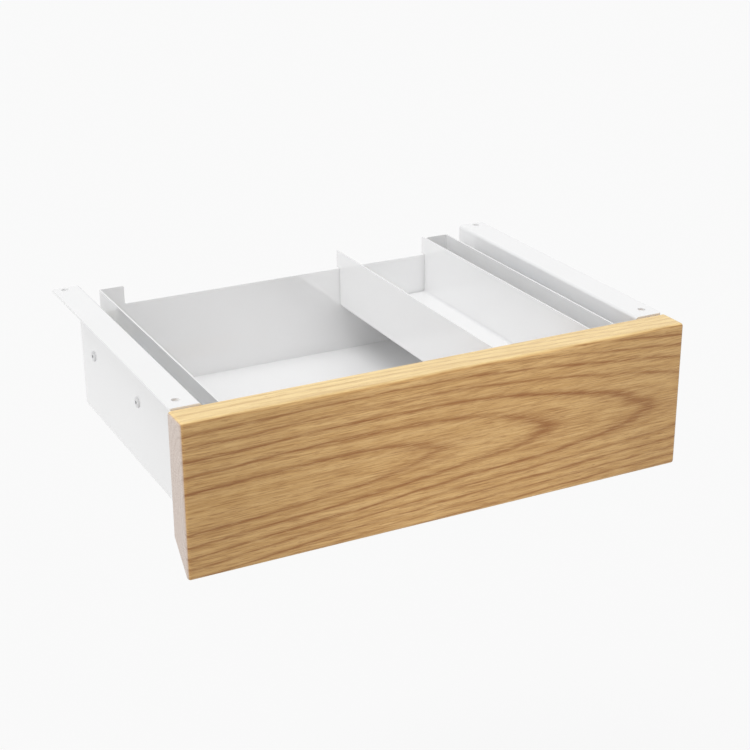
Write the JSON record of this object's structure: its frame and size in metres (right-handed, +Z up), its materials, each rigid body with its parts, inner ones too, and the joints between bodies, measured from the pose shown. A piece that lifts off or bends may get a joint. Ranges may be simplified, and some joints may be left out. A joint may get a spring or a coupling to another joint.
{
  "type": "under desk drawer",
  "caption": "Shallow drawer that hangs under a desk on two L-brackets and ball-bearing slides, with a solid oak front, a white folded sheet box and a hanging pen tray.",
  "frame": {"origin": "centre of the four desk screw holes, in the plane where the bracket flanges touch the underside of the desk", "axes": "+Z up into the desk top, -Y out of the drawer's front, +X to the right as seen from the front"},
  "size_m": [0.35, 0.2575, 0.1015],
  "materials": {
    "white_powder_coat": "smooth semi-gloss white powder coat",
    "oak": "oiled solid oak, grain running left to right",
    "zinc_steel": "bright zinc plated rolled steel",
    "retainer_steel": "plain thin steel strip, lightly greased",
    "ball_steel": "polished bearing steel",
    "rivet_steel": "white lacquered blind rivet",
    "screw_steel": "zinc plated screw",
    "black_plastic": "moulded black plastic",
    "grey_bumper": "soft grey bumper"
  },
  "bodies": {
    "brackets": {"left_bracket": "white_powder_coat", "right_bracket": "white_powder_coat", "left_outer_member": "zinc_steel", "right_outer_member": "zinc_steel", "left_bracket_rivets": "rivet_steel", "right_bracket_rivets": "rivet_steel", "left_rear_bumper": "grey_bumper", "right_rear_bumper": "grey_bumper"},
    "drawer": {"drawer_box": "white_powder_coat", "oak_front": "oak", "front_screws": "screw_steel", "left_inner_member": "zinc_steel", "right_inner_member": "zinc_steel", "left_slide_screws": "screw_steel", "right_slide_screws": "screw_steel", "left_lever_pin": "screw_steel", "right_lever_pin": "screw_steel"},
    "left_middle": {"left_intermediate_member": "zinc_steel"},
    "right_middle": {"right_intermediate_member": "zinc_steel"},
    "left_outer_race": {"left_outer_retainer": "retainer_steel", "left_outer_balls": "ball_steel"},
    "right_outer_race": {"right_outer_retainer": "retainer_steel", "right_outer_balls": "ball_steel"},
    "left_inner_race": {"left_inner_retainer": "retainer_steel", "left_inner_balls": "ball_steel"},
    "right_inner_race": {"right_inner_retainer": "retainer_steel", "right_inner_balls": "ball_steel"},
    "left_lever": {"left_release_lever": "black_plastic"},
    "right_lever": {"right_release_lever": "black_plastic"},
    "tray": {"pen_tray": "white_powder_coat"}
  },
  "joints": [
    {"name": "drawer_slide", "type": "slide", "parent": "brackets", "child": "drawer", "axis": [0, -1, 0], "range_m": [0, 0.2]},
    {"name": "left_middle_slide", "type": "slide", "parent": "brackets", "child": "left_middle", "axis": [0, -1, 0], "range_m": [0, 0.1]},
    {"name": "right_middle_slide", "type": "slide", "parent": "brackets", "child": "right_middle", "axis": [0, -1, 0], "range_m": [0, 0.1]},
    {"name": "left_outer_race_slide", "type": "slide", "parent": "brackets", "child": "left_outer_race", "axis": [0, -1, 0], "range_m": [0, 0.05]},
    {"name": "right_outer_race_slide", "type": "slide", "parent": "brackets", "child": "right_outer_race", "axis": [0, -1, 0], "range_m": [0, 0.05]},
    {"name": "left_inner_race_slide", "type": "slide", "parent": "brackets", "child": "left_inner_race", "axis": [0, -1, 0], "range_m": [0, 0.15]},
    {"name": "right_inner_race_slide", "type": "slide", "parent": "brackets", "child": "right_inner_race", "axis": [0, -1, 0], "range_m": [0, 0.15]},
    {"name": "tray_slide", "type": "slide", "parent": "drawer", "child": "tray", "axis": [1, 0, 0], "range_m": [-0.1685, 0.0005]},
    {"name": "left_lever_tip", "type": "hinge", "parent": "drawer", "child": "left_lever", "pos_m": [-0.144, -0.03, -0.0435], "axis": [1, 0, 0], "range_deg": [0, 6]},
    {"name": "right_lever_tip", "type": "hinge", "parent": "drawer", "child": "right_lever", "pos_m": [0.144, -0.03, -0.0435], "axis": [1, 0, 0], "range_deg": [0, 6]}
  ],
  "couplings": [
    {"joint": "left_middle_slide", "follows": "drawer_slide", "ratio": 0.5},
    {"joint": "left_outer_race_slide", "follows": "drawer_slide", "ratio": 0.25},
    {"joint": "left_inner_race_slide", "follows": "drawer_slide", "ratio": 0.75},
    {"joint": "right_middle_slide", "follows": "drawer_slide", "ratio": 0.5},
    {"joint": "right_outer_race_slide", "follows": "drawer_slide", "ratio": 0.25},
    {"joint": "right_inner_race_slide", "follows": "drawer_slide", "ratio": 0.75}
  ]
}
